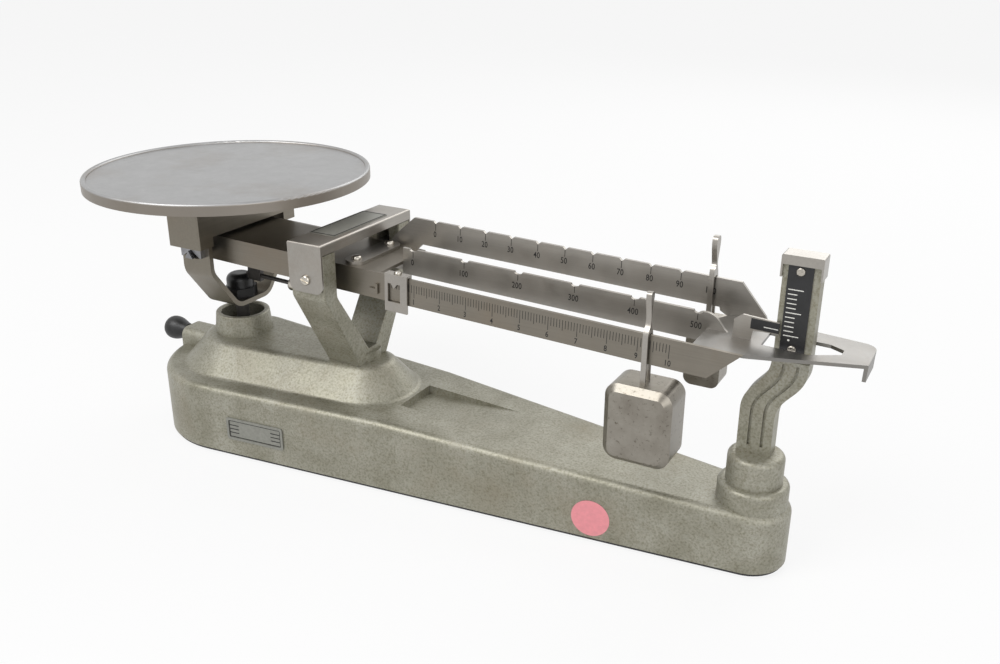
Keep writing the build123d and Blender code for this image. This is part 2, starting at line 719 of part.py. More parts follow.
# Rear wall of the channel, stepping up into the rear blade
with BuildPart() as rear_blade:
    with BuildSketch(beam_side(BEAM_HALF)):
        with BuildLine():
            Polyline(
                (CHANNEL_LEFT, BLADE_BOTTOM),
                (REAR_WALL_RIGHT - 2, BLADE_BOTTOM),
                (REAR_WALL_RIGHT, BLADE_BOTTOM + 2),
                (REAR_WALL_RIGHT, REAR_BLADE_BOTTOM - 4),
                (REAR_WALL_RIGHT + 4, REAR_BLADE_BOTTOM),
                (TIP_LEFT - 1.5, REAR_BLADE_BOTTOM),
                (TIP_LEFT - 1, WEB_RISE + 1),
                (TIP_LEFT + 4, WEB_BOTTOM),
                (REAR_RIGHT + 14, WEB_BOTTOM),
                (REAR_RIGHT + 12.5, WEB_RISE + 2.5),
                (REAR_RIGHT, REAR_BLADE_TOP),
                (ZERO_X - 13.2, REAR_BLADE_TOP),
                (12.6, WEB_RISE + 5),
                (9, WEB_RISE),
                (CHANNEL_LEFT, WEB_RISE),
                close=True,
            )
        make_face()
        pitch = REAR_SCALE / REAR_STEPS
        with Locations([(ZERO_X + i * pitch, REAR_BLADE_TOP) for i in range(REAR_STEPS + 1)]):
            RegularPolygon(NOTCH_D, 4, mode=Mode.SUBTRACT)
        with BuildLine():
            Polyline((-KNIFE_HALF_W, KNIFE_H), (0, 0), (KNIFE_HALF_W, KNIFE_H), close=True)
        make_face(mode=Mode.SUBTRACT)
        with BuildLine():
            Polyline(
                (-PAN_ARM - KNIFE_HALF_W, -KNIFE_H),
                (-PAN_ARM, 0),
                (-PAN_ARM + KNIFE_HALF_W, -KNIFE_H),
                close=True,
            )
        make_face(mode=Mode.SUBTRACT)
    extrude(amount=SHEET)
finish(rear_blade, "rear_blade")

# Middle blade, its right end curling down to the tip plate
with BuildPart() as middle_blade:
    with BuildSketch(beam_side(SHEET / 2)):
        with BuildLine():
            top = Line((WEB_RIGHT, MIDDLE_TOP), (MIDDLE_RIGHT, MIDDLE_TOP))
            curl = Spline(
                top @ 1,
                (TIP_LEFT + 9, WEB_RISE),
                tangents=((1, 0), (1, -0.6)),
            )
            Polyline(
                curl @ 1,
                (TIP_LEFT, WEB_RISE),
                (TIP_LEFT - 1, WEB_BOTTOM),
                (TIP_LEFT - 4, MIDDLE_BOTTOM),
                (WEB_RIGHT, MIDDLE_BOTTOM),
                top @ 0,
            )
        make_face()
        pitch = MIDDLE_SCALE / MIDDLE_STEPS
        with Locations([(ZERO_X + i * pitch, MIDDLE_TOP) for i in range(MIDDLE_STEPS + 1)]):
            Ellipse(NOTCH_W * 0.9, NOTCH_D, mode=Mode.SUBTRACT)
    extrude(amount=SHEET)
finish(middle_blade, "middle_blade")

# Tip plate with its slot round the post and its end lip
with BuildPart() as tip_plate:
    with BuildSketch(beam_top(WEB_BOTTOM)):
        with BuildLine():
            Polyline(
                (TIP_LEFT, -BLADE_IN),
                (FRONT_TOP_RIGHT, -BLADE_IN),
                (FRONT_TOP_RIGHT + 14, -BLADE_IN + 5),
                (TIP_RIGHT, -2.9),
                (TIP_RIGHT, 20.2),
                (FRONT_TOP_RIGHT + 18, BEAM_HALF),
                (REAR_RIGHT + 14, BLADE_IN),
                (TIP_LEFT + 4, BLADE_IN),
                (TIP_LEFT, BLADE_IN - 8),
                close=True,
            )
        make_face()
        corner = [v for v in vertices() if v.X > TIP_RIGHT - 1 and v.Y > 10]
        fillet(corner, 6)
        with BuildLine():
            Polyline(
                (SLOT_LEFT, SLOT_FRONT),
                (SLOT_RIGHT - 12, SLOT_FRONT),
                (SLOT_RIGHT, 2.2),
                (SLOT_RIGHT, 7.5),
                (SLOT_RIGHT - 6, SLOT_BACK),
                (SLOT_LEFT, SLOT_BACK),
                close=True,
            )
        make_face(mode=Mode.SUBTRACT)
        with Locations((TIP_LEFT + 13, 3.5)):
            Circle(1.2, mode=Mode.SUBTRACT)
    extrude(amount=SHEET)
    with BuildSketch(Plane(origin=beam_top(WEB_BOTTOM).from_local_coords((TIP_RIGHT, 0, 0)),
                           x_dir=(0, 1, 0), z_dir=BEAM_X)):
        with BuildLine():
            Polyline((-2.9, 0), (14.2, 0), (14.2, 5 - LIP_DROP), (-2.9, -LIP_DROP), close=True)
        make_face()
        fillet([v for v in vertices() if v.Y < -5], 2)
    extrude(amount=-SHEET)
finish(tip_plate, "tip_plate")

# Pointer tab and its dark plate
TAB_Y = -3.0
TAB_T = 1.0
TAB_LEFT = 204.0
TAB_RIGHT = 223.4
with BuildPart() as pointer_tab:
    with BuildSketch(beam_side(TAB_Y + TAB_T / 2)):
        with BuildLine():
            Polyline(
                (TAB_LEFT, WEB_RISE),
                (TAB_LEFT + 8, WEB_RISE),
                (TAB_LEFT + 8.5, WEB_RISE + 4.7),
                (TAB_RIGHT, WEB_RISE + 5.2),
                (TAB_RIGHT, WEB_RISE + 10.4),
                (TAB_LEFT + 3.5, WEB_RISE + 11),
                (TAB_LEFT, WEB_RISE + 8.2),
                close=True,
            )
        make_face()
    extrude(amount=TAB_T)
finish(pointer_tab, "pointer_tab")

with BuildPart() as pointer_plate:
    with BuildSketch(beam_side(TAB_Y - TAB_T / 2)):
        with Locations(((TAB_LEFT + 7.3 + TAB_RIGHT) / 2, WEB_RISE + 7.8)):
            Rectangle(TAB_RIGHT - TAB_LEFT - 7.3, 4.6)
    extrude(amount=LABEL_T)
finish(pointer_plate, "pointer_plate")

# Knife edges across the channel
with BuildPart() as fulcrum_knife:
    with BuildSketch(beam_side(0)):
        with BuildLine():
            Polyline((-KNIFE_HALF_W, KNIFE_H), (0, 0), (KNIFE_HALF_W, KNIFE_H), close=True)
        make_face()
    extrude(amount=FORK_OUT - 1, both=True)
finish(fulcrum_knife, "fulcrum_knife")

KNIFE_REACH = SUPPORT_OUT - SUPPORT_SHEET - 1
with BuildPart() as pan_knife:
    with BuildSketch(beam_side(0)):
        with BuildLine():
            Polyline(
                (-PAN_ARM - KNIFE_HALF_W, -KNIFE_H),
                (-PAN_ARM, 0),
                (-PAN_ARM + KNIFE_HALF_W, -KNIFE_H),
                close=True,
            )
        make_face()
    extrude(amount=KNIFE_REACH, both=True)
finish(pan_knife, "pan_knife")

# Plate and screws on the web beside the cover
FULCRUM_PLATE_X = 13.0
FULCRUM_PLATE_W = 11.5
FULCRUM_PLATE_L = 40.0
FULCRUM_PLATE_T = 1.5
with BuildPart() as fulcrum_plate:
    with BuildSketch(beam_top(WEB_RISE)):
        with Locations((FULCRUM_PLATE_X, 0)):
            SlotOverall(FULCRUM_PLATE_L, FULCRUM_PLATE_W, rotation=90)
    extrude(amount=FULCRUM_PLATE_T)
finish(fulcrum_plate, "fulcrum_plate")

PLATE_SCREW_R = 2.6
PLATE_SCREW_H = 1.7
for screw_name, place in (("fulcrum_screw_front", -14.5), ("fulcrum_screw_rear", 14.5)):
    screw_plane = beam_top(WEB_RISE + FULCRUM_PLATE_T)
    screw_plane.origin = screw_plane.from_local_coords((FULCRUM_PLATE_X, place, 0))
    finish(round_screw(screw_plane, PLATE_SCREW_R, PLATE_SCREW_H, 40), screw_name)

# Zero adjustment: hanger, rod and nut
HANGER_X = -68.0
HANGER_W = 9.0
with BuildPart() as adjust_hanger:
    with BuildSketch(beam_side(0)):
        with Locations((HANGER_X, (WEB_BOTTOM + ROD_V - 3) / 2)):
            Rectangle(HANGER_W, WEB_BOTTOM - ROD_V + 3)
    extrude(amount=1.5, both=True)
    with BuildSketch(Plane(origin=beam_side(0).from_local_coords((HANGER_X, ROD_V, 0)),
                           x_dir=(0, 1, 0), z_dir=BEAM_X)):
        Circle(ROD_R)
    extrude(amount=HANGER_W, both=True, mode=Mode.SUBTRACT)
    with BuildSketch(beam_top(WEB_BOTTOM)):
        with Locations((HANGER_X, 0)):
            Rectangle(HANGER_W, 16)
    extrude(amount=-1.5)
finish(adjust_hanger, "adjust_hanger")

ROD_PLANE = Plane(origin=beam_side(0).from_local_coords((ROD_LEFT, ROD_V, 0)), x_dir=(0, 1, 0), z_dir=BEAM_X)
with BuildPart() as adjust_rod:
    with BuildSketch(ROD_PLANE):
        Circle(ROD_R)
    extrude(amount=ROD_RIGHT - ROD_LEFT)
finish(adjust_rod, "adjust_rod")

with BuildPart() as adjust_nut:
    with BuildSketch(ROD_PLANE.offset(NUT_X - NUT_L / 2 - ROD_LEFT)):
        Circle(NUT_R)
        Circle(ROD_R + SHAFT_PLAY, mode=Mode.SUBTRACT)
    extrude(amount=NUT_L)
    fillet(adjust_nut.edges().filter_by(GeomType.CIRCLE).filter_by(lambda e: e.radius > NUT_R - 0.1), 1.2)
finish(adjust_nut, "adjust_nut")

# Rider on the front blade
RIDER_X = RIDER_LEFT + RIDER_W / 2
RIDER_FRONT = -BEAM_HALF - RIDER_GAP - RIDER_SHEET
RIDER_BACK = -BLADE_IN + RIDER_GAP + RIDER_SHEET
RIDER_TOP = WEB_RISE + RIDER_GAP
with BuildPart() as rider:
    with BuildSketch(beam_side(RIDER_FRONT + RIDER_SHEET)):
        with Locations((RIDER_X, (RIDER_BOTTOM + RIDER_TOP + RIDER_SHEET) / 2)):
            Rectangle(RIDER_W, RIDER_TOP + RIDER_SHEET - RIDER_BOTTOM)
        with BuildLine():
            Polyline(
                (RIDER_LEFT + 1.8, -7),
                (RIDER_LEFT + 9, -7),
                (RIDER_LEFT + 9, 2.5),
                (RIDER_LEFT + 7.2, 2.5),
                (RIDER_LEFT + 5.4, 0),
                (RIDER_LEFT + 3.6, 2.5),
                (RIDER_LEFT + 1.8, 2.5),
                close=True,
            )
        make_face(mode=Mode.SUBTRACT)
    extrude(amount=RIDER_SHEET)
    with BuildSketch(beam_side(RIDER_BACK)):
        with Locations((RIDER_X, (BLADE_BOTTOM + RIDER_TOP + RIDER_SHEET) / 2)):
            Rectangle(RIDER_W, RIDER_TOP + RIDER_SHEET - BLADE_BOTTOM)
    extrude(amount=RIDER_SHEET)
    with BuildSketch(beam_top(RIDER_TOP)):
        with Locations((RIDER_X, (RIDER_FRONT + RIDER_BACK) / 2)):
            Rectangle(RIDER_W, RIDER_BACK - RIDER_FRONT)
    extrude(amount=RIDER_SHEET)
finish(rider, "rider")

rider_screw_plane = beam_top(RIDER_TOP + RIDER_SHEET)
rider_screw_plane.origin = rider_screw_plane.from_local_coords((RIDER_X, (RIDER_FRONT + RIDER_BACK) / 2, 0))
finish(round_screw(rider_screw_plane, 2.0, 1.5, 10), "rider_screw")


def bail_outline(centre, low, shoulder, neck, top, loop_half):
    """Bail seen along the beam: two legs astride the blade and a closed loop above"""
    half = BAIL_HALF
    with BuildLine() as outline:
        right = Spline(
            (centre + half, shoulder - 2),
            (centre + BAIL_T * 0.8, neck),
            (centre + loop_half, (neck + 2 * top) / 3),
            (centre, top),
            tangents=((0, 1), (-1, 0)),
        )
        left = Spline(
            (centre, top),
            (centre - loop_half, (neck + 2 * top) / 3),
            (centre - BAIL_T * 0.8, neck),
            (centre - half, shoulder - 2),
            tangents=((-1, 0), (0, -1)),
        )
        Polyline(left @ 1, (centre - half, low), (centre - half + BAIL_T, low),
                 (centre - half + BAIL_T, shoulder - 2))
        arch = ThreePointArc(
            (centre - half + BAIL_T, shoulder - 2),
            (centre, shoulder + HANG_GAP),
            (centre + half - BAIL_T, shoulder - 2),
        )
        Polyline(arch @ 1, (centre + half - BAIL_T, low), (centre + half, low), right @ 0)
    make_face(outline.line)


# Large poise on the front blade
LARGE_Y = -BLADE_Y
LARGE_SEAT = beam_z(LARGE_X, WEB_RISE)
with BuildPart() as large_bail:
    with BuildSketch(Plane.YZ.offset(LARGE_X)):
        bail_outline(LARGE_Y, LARGE_TOP, LARGE_SEAT + HANG_GAP, LARGE_SEAT + 4, LARGE_BAIL_TOP, 1.4)
    extrude(amount=BAIL_W / 2, both=True)
finish(large_bail, "large_bail")

with BuildPart() as large_poise:
    with BuildSketch(side(LARGE_Y)):
        with Locations((LARGE_X, LARGE_TOP - LARGE_H / 2)):
            RectangleRounded(LARGE_W, LARGE_H, LARGE_ROUND)
    extrude(amount=LARGE_D / 2, both=True)
    chamfer(large_poise.edges().group_by(Axis.Y)[0].sort_by(Axis.Z)[-1], 3)
finish(large_poise, "large_poise")

# Rear poise on the rear blade
REAR_Y = BLADE_Y
REAR_SEAT = beam_z(REAR_X, REAR_BLADE_TOP)
with BuildPart() as rear_bail:
    with BuildSketch(Plane.YZ.offset(REAR_X)):
        bail_outline(REAR_Y, REAR_TOP, REAR_SEAT + HANG_GAP, REAR_SEAT + 6, REAR_BAIL_TOP, 2.6)
    extrude(amount=BAIL_W / 2, both=True)
finish(rear_bail, "rear_bail")

with BuildPart() as rear_poise:
    with BuildSketch(side(REAR_Y)):
        with Locations((REAR_X, REAR_TOP - REAR_H / 2)):
            RectangleRounded(REAR_W, REAR_H, REAR_ROUND)
    extrude(amount=REAR_D / 2, both=True)
finish(rear_poise, "rear_poise")

# Pan
PLATE_TOP = PAN_RIM_Z - PAN_SHEET
PLATE_BOTTOM = PLATE_TOP - PAN_SHEET
with BuildPart() as pan:
    with BuildSketch(side(0)):
        with BuildLine():
            inner = Polyline(
                (PAN_X, PLATE_BOTTOM),
                (PAN_X + PAN_R - PAN_SHEET, PLATE_BOTTOM),
                (PAN_X + PAN_R - PAN_SHEET, PAN_RIM_Z - PAN_SKIRT),
                (PAN_X + PAN_R, PAN_RIM_Z - PAN_SKIRT),
                (PAN_X + PAN_R, PAN_RIM_Z - PAN_BEAD),
            )
            bead = ThreePointArc(
                inner @ 1,
                (PAN_X + PAN_R - PAN_BEAD * 0.95, PAN_RIM_Z),
                (PAN_X + PAN_R - 2 * PAN_BEAD, PLATE_TOP),
            )
            Polyline(bead @ 1, (PAN_X, PLATE_TOP), (PAN_X, PLATE_BOTTOM))
        make_face()
    revolve(axis=Axis((PAN_X, 0, 0), (0, 0, 1)))
finish(pan, "pan")

# Carrier under the pan
with BuildPart() as pan_support:
    with BuildSketch(Plane.XY.offset(SUPPORT_BOTTOM)):
        with Locations((PAN_X, 0)):
            Rectangle(SUPPORT_W, 2 * SUPPORT_OUT)
    extrude(amount=PLATE_BOTTOM - SUPPORT_BOTTOM)
    fillet(pan_support.edges().filter_by(Axis.Z), 1.1)
    with BuildSketch(Plane.XY.offset(SUPPORT_BOTTOM)):
        with Locations((PAN_X, 0)):
            Rectangle(SUPPORT_W - 2 * SUPPORT_SHEET, 2 * (SUPPORT_OUT - SUPPORT_SHEET))
    extrude(amount=PLATE_BOTTOM - SUPPORT_BOTTOM - 2 * SUPPORT_SHEET, mode=Mode.SUBTRACT)
    with BuildSketch(Plane.XY.offset(SUPPORT_BOTTOM)):
        with Locations((PAN_X, 0)):
            Rectangle(2 * SUPPORT_W, 2 * (YOKE_Y - YOKE_T / 2))
    extrude(amount=SUPPORT_ARCH_Z - SUPPORT_BOTTOM, mode=Mode.SUBTRACT)
finish(pan_support, "pan_support")

YOKE_TOP = PLATE_BOTTOM - 2 * SUPPORT_SHEET
YOKE_W = SUPPORT_W - 2 * SUPPORT_SHEET - 0.2
YOKE_UNDER = YOKE_FOOT_Z - YOKE_T / 2
BEARING_HOLE = 5.0
with BuildPart() as yoke:
    with BuildSketch(Plane.YZ.offset(PAN_X)):
        with BuildLine() as yoke_line:
            FilletPolyline(
                (-YOKE_Y, YOKE_TOP),
                (-YOKE_Y, YOKE_BEND_Z),
                (-YOKE_FOOT_Y, YOKE_FOOT_Z),
                (YOKE_FOOT_Y, YOKE_FOOT_Z),
                (YOKE_Y, YOKE_BEND_Z),
                (YOKE_Y, YOKE_TOP),
                radius=YOKE_ROUND,
            )
        trace(yoke_line.line, line_width=YOKE_T)
    extrude(amount=YOKE_W / 2, both=True)
    with BuildSketch(side(0)):
        with Locations((PAN_X, PAN_PIVOT_Z - 1)):
            Circle(BEARING_HOLE)
    extrude(amount=SUPPORT_OUT, both=True, mode=Mode.SUBTRACT)
    with BuildSketch(Plane.XY.offset(YOKE_UNDER)):
        with Locations((PAN_X, 0)):
            Circle(STEM_R - 0.7)
    extrude(amount=YOKE_T, mode=Mode.SUBTRACT)
finish(yoke, "yoke")

# Inverted V bearings on the yoke that hang over the pan knife edge
YOKE_OUT = YOKE_Y + YOKE_T / 2
for bearing_name, way in (("pan_bearing_front", -1), ("pan_bearing_rear", 1)):
    with BuildPart() as bearing:
        with BuildSketch(side(way * (YOKE_OUT + 1.7))):
            with BuildLine():
                Polyline(
                    (PAN_X - 7, PAN_PIVOT_Z + 6),
                    (PAN_X + 7, PAN_PIVOT_Z + 6),
                    (PAN_X + 7, PAN_PIVOT_Z - 4),
                    (PAN_X + 6, PAN_PIVOT_Z - 4),
                    (PAN_X, PAN_PIVOT_Z + BEARING_GAP),
                    (PAN_X - 6, PAN_PIVOT_Z - 4),
                    (PAN_X - 7, PAN_PIVOT_Z - 4),
                    close=True,
                )
            make_face()
        extrude(amount=1.7, both=True)
    finish(bearing, bearing_name)

# Stem, its nut and the pin at the open pivot
STEM_SLOT = LINK_T / 2 + LINK_SIDE_GAP
STEM_LOW = LINK_END_Z - LINK_EYE_R
with BuildPart() as stem:
    with BuildSketch(Plane.XY.offset(STEM_LOW)):
        with Locations((PAN_X, 0)):
            Circle(STEM_R)
    extrude(amount=YOKE_UNDER - STEM_LOW)
    with BuildSketch(Plane.XY.offset(YOKE_UNDER)):
        with Locations((PAN_X, 0)):
            Circle(STEM_R - 0.7)
    extrude(amount=YOKE_T)
    with BuildSketch(Plane.XY.offset(STEM_LOW)):
        with Locations((PAN_X, 0)):
            Rectangle(4 * STEM_R, 2 * STEM_SLOT)
    extrude(amount=2.4 * LINK_EYE_R, mode=Mode.SUBTRACT)
    with BuildSketch(side(0)):
        with Locations((PAN_X, LINK_END_Z)):
            Circle(LINK_PIN_R)
    extrude(amount=2 * STEM_R, both=True, mode=Mode.SUBTRACT)
finish(stem, "stem")

with BuildPart() as stem_pin:
    with BuildSketch(side(0)):
        with Locations((PAN_X, LINK_END_Z)):
            Circle(LINK_PIN_R)
    extrude(amount=STEM_R, both=True)
finish(stem_pin, "stem_pin")

with BuildPart() as stem_nut:
    with BuildSketch(Plane.XY.offset(YOKE_UNDER + YOKE_T)):
        with Locations((PAN_X, 0)):
            RegularPolygon(STEM_NUT_R, 6)
    extrude(amount=STEM_NUT_H * 0.4)
    with BuildSketch(Plane.XY.offset(YOKE_UNDER + YOKE_T + STEM_NUT_H * 0.4)):
        with Locations((PAN_X, 0)):
            Circle(STEM_NUT_R * 0.8)
    extrude(amount=STEM_NUT_H * 0.6)
    fillet(stem_nut.faces().sort_by(Axis.Z)[-1].edges(), 4)
finish(stem_nut, "stem_nut")
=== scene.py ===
import json
import math

import bmesh
import bpy
from mathutils import Matrix, Vector


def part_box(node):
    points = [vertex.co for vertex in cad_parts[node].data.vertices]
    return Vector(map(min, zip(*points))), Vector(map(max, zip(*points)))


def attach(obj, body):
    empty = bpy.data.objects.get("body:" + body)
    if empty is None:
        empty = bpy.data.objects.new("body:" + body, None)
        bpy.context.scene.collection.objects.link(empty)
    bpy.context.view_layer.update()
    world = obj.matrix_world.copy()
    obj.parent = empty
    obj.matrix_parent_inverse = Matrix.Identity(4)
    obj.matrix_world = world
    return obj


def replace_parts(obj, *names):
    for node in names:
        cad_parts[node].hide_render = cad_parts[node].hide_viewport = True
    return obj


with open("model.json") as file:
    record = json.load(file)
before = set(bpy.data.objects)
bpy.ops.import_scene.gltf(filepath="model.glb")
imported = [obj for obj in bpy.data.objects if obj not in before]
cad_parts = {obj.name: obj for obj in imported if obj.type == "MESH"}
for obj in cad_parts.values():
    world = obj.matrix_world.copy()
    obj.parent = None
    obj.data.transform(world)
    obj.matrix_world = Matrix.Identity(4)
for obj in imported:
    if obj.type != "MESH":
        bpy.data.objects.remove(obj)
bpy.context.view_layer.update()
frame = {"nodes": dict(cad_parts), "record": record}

MM = 0.001

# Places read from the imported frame, in metres
JOINTS = {joint["name"]: joint for joint in frame["record"]["behaviour"]["joints"]}
PIVOT = Vector(JOINTS["beam_pivot"]["pos_m"])
ALONG = Vector(JOINTS["rider_slide"]["axis"])
UP = Vector((-ALONG.z, 0, ALONG.x))
X_AXIS, Y_AXIS, Z_AXIS = (1, 0, 0), (0, 1, 0), (0, 0, 1)

# How far marks stand off the surface that they lie on
LIFT = 0.04 * MM
FRAME_LIFT = 0.05 * MM
PAPER_LIFT = 0.12 * MM

WHITE, BLACK = (1, 1, 1), (0, 0, 0)
# Values between which noise mostly lies
NOISE_LOW, NOISE_HIGH = 0.3, 0.7


def corners(node):
    """Lowest and highest corner of a CAD node as vectors"""
    low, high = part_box(node)
    return Vector(low), Vector(high)


# Materials
def new_material(name):
    """A node material with its surface shader and object coordinates"""
    material = bpy.data.materials.new(name)
    material.use_nodes = True
    tree = material.node_tree
    place = tree.nodes.new("ShaderNodeTexCoord")
    return material, tree, tree.nodes["Principled BSDF"], place.outputs["Object"]


def mapped(tree, source, stretch):
    """Coordinates stretched along the axes"""
    node = tree.nodes.new("ShaderNodeMapping")
    node.inputs["Scale"].default_value = stretch
    tree.links.new(source, node.inputs["Vector"])
    return node.outputs["Vector"]


def noise(tree, source, scale, detail=4.0, rough=0.55):
    """Noise over the given coordinates, scale in features per metre"""
    node = tree.nodes.new("ShaderNodeTexNoise")
    node.inputs["Scale"].default_value = scale
    node.inputs["Detail"].default_value = detail
    node.inputs["Roughness"].default_value = rough
    tree.links.new(source, node.inputs["Vector"])
    return node.outputs["Fac"]


def ramp(tree, source, stops):
    """Colour ramp with stops of (position, colour)"""
    node = tree.nodes.new("ShaderNodeValToRGB")
    first, last = node.color_ramp.elements
    first.position, first.color = stops[0][0], (*stops[0][1], 1)
    last.position, last.color = stops[-1][0], (*stops[-1][1], 1)
    for position, colour in stops[1:-1]:
        node.color_ramp.elements.new(position).color = (*colour, 1)
    tree.links.new(source, node.inputs["Fac"])
    return node.outputs["Color"]


def two_tone(tree, source, low, high):
    """Colour ramp from low to high over the usual values of noise"""
    return ramp(tree, source, [(NOISE_LOW, low), (NOISE_HIGH, high)])


def spread(tree, source, low, high):
    """The usual values of noise mapped onto low to high"""
    node = tree.nodes.new("ShaderNodeMapRange")
    node.inputs["From Min"].default_value = NOISE_LOW
    node.inputs["From Max"].default_value = NOISE_HIGH
    node.inputs["To Min"].default_value = low
    node.inputs["To Max"].default_value = high
    tree.links.new(source, node.inputs["Value"])
    return node.outputs["Result"]


def mixed(tree, factor, below, above, blend="MIX"):
    """Two colours mixed by a factor, each of them a value or a socket"""
    node = tree.nodes.new("ShaderNodeMix")
    node.data_type = "RGBA"
    node.blend_type = blend
    for name, kind, value in (("Factor", "VALUE", factor), ("A", "RGBA", below), ("B", "RGBA", above)):
        socket = [s for s in node.inputs if s.name == name and s.type == kind][0]
        if isinstance(value, tuple):
            socket.default_value = (*value, 1)
        elif isinstance(value, (float, int)):
            socket.default_value = value
        else:
            tree.links.new(value, socket)
    return [s for s in node.outputs if s.type == "RGBA"][0]


def bumped(tree, shader, height, strength, distance):
    """Relief from a height, distance in metres"""
    node = tree.nodes.new("ShaderNodeBump")
    node.inputs["Strength"].default_value = strength
    node.inputs["Distance"].default_value = distance
    tree.links.new(height, node.inputs["Height"])
    tree.links.new(node.outputs["Normal"], shader.inputs["Normal"])


def casting_material():
    """Grey hammered enamel over a casting, stained and speckled"""
    hollow, middle, raised = (0.235, 0.225, 0.172), (0.31, 0.30, 0.245), (0.39, 0.38, 0.325)
    dark_speck, bright_speck = (0.72, 0.70, 0.62), (1.15, 1.15, 1.14)
    stain_tone, stain_share = (0.15, 0.12, 0.06), 0.55
    material, tree, shader, place = new_material("casting_enamel")
    mottle = noise(tree, place, 55, 5)
    speck = noise(tree, place, 900, 3, 0.65)
    stain = noise(tree, place, 28, 6, 0.6)
    dents = noise(tree, place, 520, 4, 0.6)
    paint = ramp(tree, mottle, [(0.3, hollow), (0.55, middle), (0.75, raised)])
    grain = ramp(tree, speck, [(0.34, dark_speck), (0.5, WHITE), (0.68, bright_speck)])
    speckled = mixed(tree, 1.0, paint, grain, "MULTIPLY")
    mask = ramp(tree, stain, [(0.52, BLACK), (0.74, (stain_share,) * 3)])
    tree.links.new(mixed(tree, mask, speckled, stain_tone), shader.inputs["Base Color"])
    shader.inputs["Metallic"].default_value = 0.45
    tree.links.new(spread(tree, mottle, 0.36, 0.52), shader.inputs["Roughness"])
    bumped(tree, shader, dents, 0.35, 0.35 * MM)
    return material


def steel_material(name, tone, rough, stretch, stain=0.3, metallic=0.95, upright_shade_tone=None):
    """Brushed sheet with its grain along one axis and brown stains; the tone for upright faces, when given,
    is painted shade on those faces, with the brown stains over it
    """
    material, tree, shader, place = new_material(name)
    brush = noise(tree, mapped(tree, place, stretch), 1, 5, 0.7)
    cloud = noise(tree, place, 45, 5, 0.6)
    patch = noise(tree, place, 22, 7, 0.62)
    low = tuple(0.86 * c for c in tone)
    high = tuple(min(1.0, 1.12 * c) for c in tone)
    cloudy = mixed(tree, 0.5, two_tone(tree, brush, low, high), two_tone(tree, cloud, low, high))
    mask = ramp(tree, patch, [(0.5, BLACK), (0.78, (stain, stain, stain))])
    colour = mixed(tree, mask, cloudy, STAIN_BROWN)
    if upright_shade_tone:
        # Painted shade: upright faces, picked by their normal, take the darker given tone, with the real
        # brown stains mixed over it
        geometry = tree.nodes.new("ShaderNodeNewGeometry")
        parts = tree.nodes.new("ShaderNodeSeparateXYZ")
        tree.links.new(geometry.outputs["True Normal"], parts.inputs["Vector"])
        side = ramp(tree, parts.outputs["Z"], [(0.15, WHITE), (0.6, BLACK)])
        colour = mixed(tree, side, colour, mixed(tree, mask, upright_shade_tone, SKIRT_BROWN))
    tree.links.new(colour, shader.inputs["Base Color"])
    shader.inputs["Metallic"].default_value = metallic
    tree.links.new(spread(tree, cloud, rough * 0.85, rough * 1.25), shader.inputs["Roughness"])
    bumped(tree, shader, brush, 0.10, 0.04 * MM)
    return material


def plated_material():
    """Plated weight with fine dark pitting"""
    material, tree, shader, place = new_material("plated_weight")
    cloud = noise(tree, place, 70, 5, 0.6)
    pits = noise(tree, place, 480, 5, 0.7)
    metal = two_tone(tree, cloud, (0.21, 0.19, 0.16), (0.33, 0.31, 0.27))
    spots = ramp(tree, pits, [(0.30, (0.35, 0.32, 0.27)), (0.42, WHITE)])
    tree.links.new(mixed(tree, 1.0, metal, spots, "MULTIPLY"), shader.inputs["Base Color"])
    shader.inputs["Metallic"].default_value = 0.9
    tree.links.new(spread(tree, cloud, 0.28, 0.42), shader.inputs["Roughness"])
    bumped(tree, shader, pits, 0.18, 0.08 * MM)
    return material


def plain_material(name, colour, rough, metallic=0.0, vary=0.25, scale=250):
    """A simple surface with a little mottle in colour and roughness"""
    material, tree, shader, place = new_material(name)
    cloud = noise(tree, place, scale, 4)
    low = tuple(c * (1 - vary) for c in colour)
    high = tuple(min(1.0, c * (1 + vary)) for c in colour)
    tree.links.new(two_tone(tree, cloud, low, high), shader.inputs["Base Color"])
    shader.inputs["Metallic"].default_value = metallic
    tree.links.new(spread(tree, cloud, rough * 0.9, min(1.0, rough * 1.15)), shader.inputs["Roughness"])
    bumped(tree, shader, noise(tree, place, 1500, 3), 0.06, 0.05 * MM)
    return material


# Grain of brushed sheet: features per metre along x, y and z
GRAIN_ALONG = (25, 60, 2600)
GRAIN_UPRIGHT = (900, 40, 900)
GRAIN_SHEET = (1800, 40, 900)
GRAIN_DISC = (150, 150, 900)
STAIN_BROWN = (0.20, 0.15, 0.10)
SKIRT_BROWN = (0.16, 0.12, 0.08)

CASTING = casting_material()
BLADE = steel_material("blade_steel", (0.39, 0.37, 0.34), 0.36, GRAIN_ALONG, stain=0.25)
CHANNEL = steel_material("channel_steel", (0.22, 0.20, 0.168), 0.36, GRAIN_ALONG, stain=0.5)
SHEET = steel_material("sheet_steel", (0.35, 0.33, 0.30), 0.35, GRAIN_SHEET, stain=0.35)
TIP = steel_material("tip_steel", (0.235, 0.228, 0.215), 0.38, GRAIN_ALONG)
CARRIER = steel_material("carrier_steel", (0.215, 0.195, 0.16), 0.36, GRAIN_UPRIGHT, stain=0.45)
# The pan's upright skirt gets a darker tone as painted shade, under real brown stains
PAN_TOP = steel_material(
    "pan_steel", (0.36, 0.36, 0.36), 0.40, GRAIN_DISC, stain=0.35, metallic=0.9, upright_shade_tone=(0.25, 0.225, 0.195),
)
CLIP = steel_material("clip_steel", (0.36, 0.34, 0.31), 0.3, GRAIN_UPRIGHT)
PLATED = plated_material()
NICKEL = plain_material("nickel", (0.46, 0.43, 0.38), 0.24, metallic=1.0)
HARDENED = plain_material("hardened_steel", (0.28, 0.28, 0.29), 0.35, metallic=1.0)
DULL_STEEL = plain_material("dull_steel", (0.085, 0.08, 0.075), 0.5, metallic=0.7)
